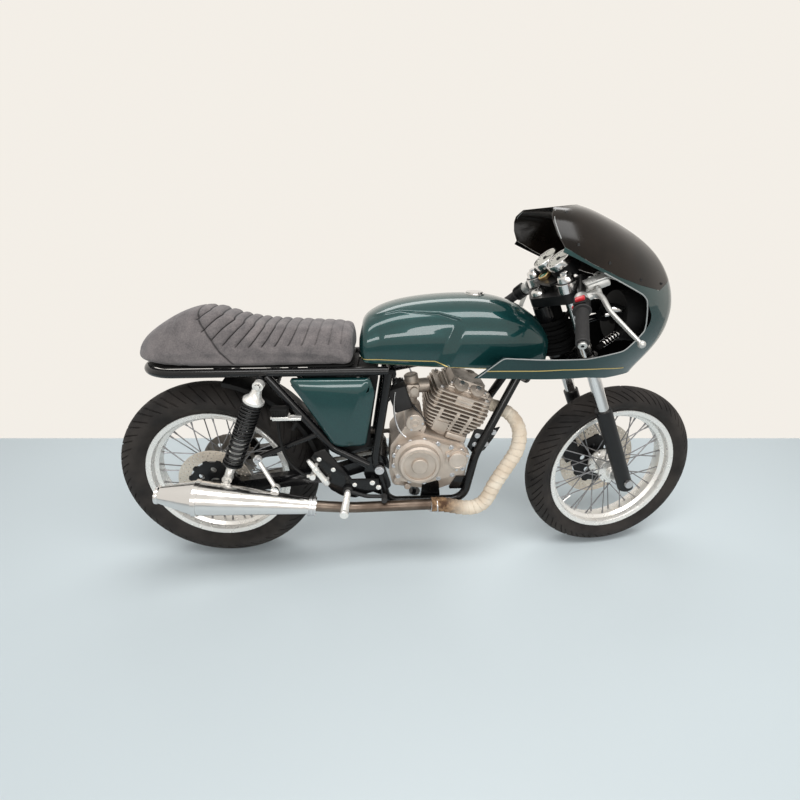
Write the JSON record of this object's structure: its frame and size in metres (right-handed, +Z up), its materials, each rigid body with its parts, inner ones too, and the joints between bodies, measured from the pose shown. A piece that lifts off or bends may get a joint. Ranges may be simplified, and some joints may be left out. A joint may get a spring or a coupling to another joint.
{
  "type": "cafe racer motorcycle",
  "caption": "Cafe racer motorcycle on its side stand, with a cockpit fairing and smoked screen, clip-on bars, wire wheels, a single-cylinder engine and a ribbed seat with a rear hump.",
  "frame": {"origin": "centre of the bounding box at the ground", "axes": "+X forward, +Y to the machine's left, +Z up; the machine leans to its left onto its side stand"},
  "size_m": [2.0356, 0.703, 1.1809],
  "materials": {
    "frame_black": "gloss black enamel",
    "bright_steel": "zinc plated",
    "polished_alloy": "polished",
    "spring_black": "satin black",
    "teal_paint": "metallic clearcoat",
    "chrome": "polished",
    "grey_suede": "brushed suede",
    "black_plastic": "matt",
    "smoked_screen": "smoked, glossy",
    "lamp_glass": "clear",
    "engine_alloy": "satin cast",
    "wrapped_pipe": "woven heat wrap",
    "chain_steel": "oiled steel",
    "black_metal": "satin black",
    "disc_steel": "ground steel",
    "tyre": "rubber",
    "grip_rubber": "ribbed rubber"
  },
  "bodies": {
    "chassis": {"headstock": "frame_black", "frame_cradle_right": "frame_black", "frame_cradle_left": "frame_black", "frame_rear_loop": "frame_black", "swingarm": "frame_black", "swingarm_pivot": "bright_steel", "rear_axle": "bright_steel", "shock_dampers": "polished_alloy", "shock_springs": "spring_black", "fuel_tank": "teal_paint", "filler_cap": "chrome", "seat": "grey_suede", "seat_pan": "black_plastic", "side_covers": "teal_paint", "battery_box": "black_plastic", "rear_fender": "black_plastic", "fairing": "teal_paint", "windscreen": "smoked_screen", "headlamp": "lamp_glass", "fairing_bracket": "frame_black", "crankcase": "engine_alloy", "cylinder": "engine_alloy", "cylinder_head": "engine_alloy", "engine_covers": "engine_alloy", "starter_motor": "engine_alloy", "carburettor": "engine_alloy", "exhaust_header": "wrapped_pipe", "silencer": "chrome", "silencer_hanger": "polished_alloy", "drive_chain": "chain_steel", "rear_caliper": "black_metal", "foot_controls": "polished_alloy", "rear_master_cylinder": "polished_alloy", "brake_reservoir": "black_plastic"},
    "rear_wheel": {"rear_tyre": "tyre", "rear_rim": "polished_alloy", "rear_hub": "polished_alloy", "rear_disc": "disc_steel", "rear_sprocket": "chain_steel"},
    "steering": {"lower_yoke": "frame_black", "top_yoke": "black_metal", "fork_stanchions": "chrome", "fork_sliders": "black_metal", "front_axle": "bright_steel", "clip_ons": "black_metal", "grips": "grip_rubber", "levers": "polished_alloy", "switch_pods": "black_plastic", "gauges": "black_metal", "front_caliper": "black_metal"},
    "front_wheel": {"front_tyre": "tyre", "front_rim": "polished_alloy", "front_hub": "polished_alloy", "front_disc": "disc_steel"},
    "stand": {"side_stand": "frame_black"}
  },
  "joints": [
    {"name": "steering_turn", "type": "hinge", "parent": "chassis", "child": "steering", "pos_m": [0.41584, -0.01219, 0.8263], "axis": [-0.4201, 0.1419, 0.8963], "range_deg": [-31.4, 18.6]},
    {"name": "front_wheel_spin", "type": "hinge", "parent": "steering", "child": "front_wheel", "pos_m": [0.70787, -0.08954, 0.30601], "axis": [-0.1013, 0.9742, -0.2017], "continuous": true},
    {"name": "rear_wheel_spin", "type": "hinge", "parent": "chassis", "child": "rear_wheel", "pos_m": [-0.68285, -0.0907, 0.3317], "axis": [-0.0002, 0.9877, -0.1564], "continuous": true},
    {"name": "side_stand_swing", "type": "hinge", "parent": "chassis", "child": "stand", "pos_m": [-0.03295, 0.03127, 0.23175], "axis": [0.1185, 0.9271, 0.3557], "range_deg": [0, 99.9]}
  ]
}
